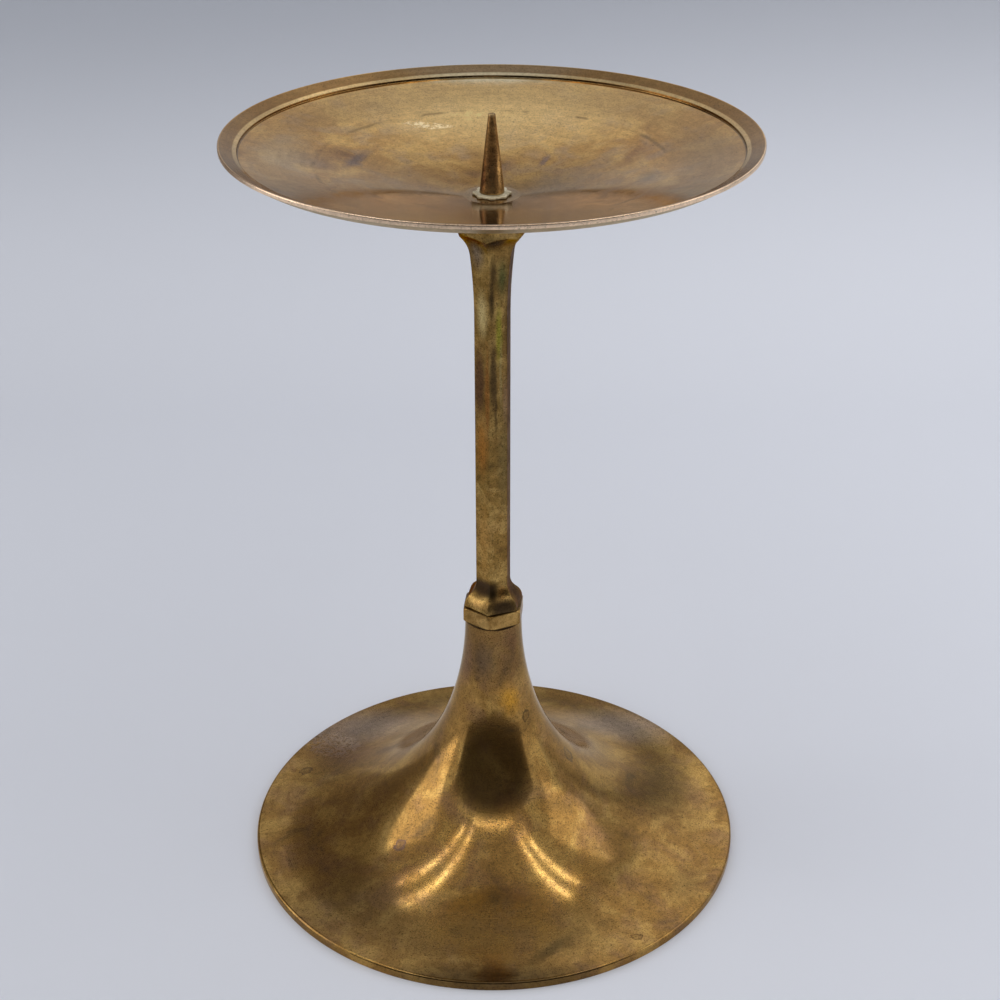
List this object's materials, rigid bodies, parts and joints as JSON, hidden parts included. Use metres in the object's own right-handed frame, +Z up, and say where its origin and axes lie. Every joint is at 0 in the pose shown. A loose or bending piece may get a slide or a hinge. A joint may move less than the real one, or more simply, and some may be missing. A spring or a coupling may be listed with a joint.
{
  "type": "pricket candle stand",
  "caption": "Brass pricket candle stand: trumpet foot, hexagonal collar and stem, wide shallow drip dish and a pointed pricket that screws out.",
  "frame": {"origin": "centre of the ring that the foot stands on", "axes": "+Z up along the stem, -Y towards the viewer, +X to the viewer's right"},
  "size_m": [0.16, 0.16, 0.2455],
  "materials": {
    "foot_brass": "tarnished turned brass with water spots and pits",
    "collar_brass": "satin brass, less tarnished",
    "stem_brass": "tarnished milled brass with copper-red and green stains",
    "dish_brass": "tarnished spun brass with wax stains",
    "spike_brass": "dark polished brass",
    "tinned_washer": "dull tinned washer with old wax",
    "zinc_plated_steel": "dull zinc plate",
    "spring_steel": "dark oiled spring steel"
  },
  "bodies": {
    "stand": {"trumpet_foot": "foot_brass", "hex_collar": "collar_brass", "hex_stem": "stem_brass", "drip_dish": "dish_brass", "foot_screw": "zinc_plated_steel", "foot_flat_washer": "zinc_plated_steel", "foot_spring_washer": "spring_steel"},
    "washer": {"spike_washer": "tinned_washer"},
    "pricket": {"pricket_spike": "spike_brass"}
  },
  "joints": [
    {"name": "pricket_lift", "type": "slide", "parent": "stand", "child": "washer", "axis": [0, 0, 1], "range_m": [0, 0.012]},
    {"name": "pricket_turn", "type": "hinge", "parent": "washer", "child": "pricket", "pos_m": [0, 0, 0.2231], "axis": [0, 0, 1], "range_deg": [0, 4321]}
  ],
  "couplings": [
    {"joint": "pricket_turn", "follows": "pricket_lift", "rad_per_m": 6283.2}
  ]
}
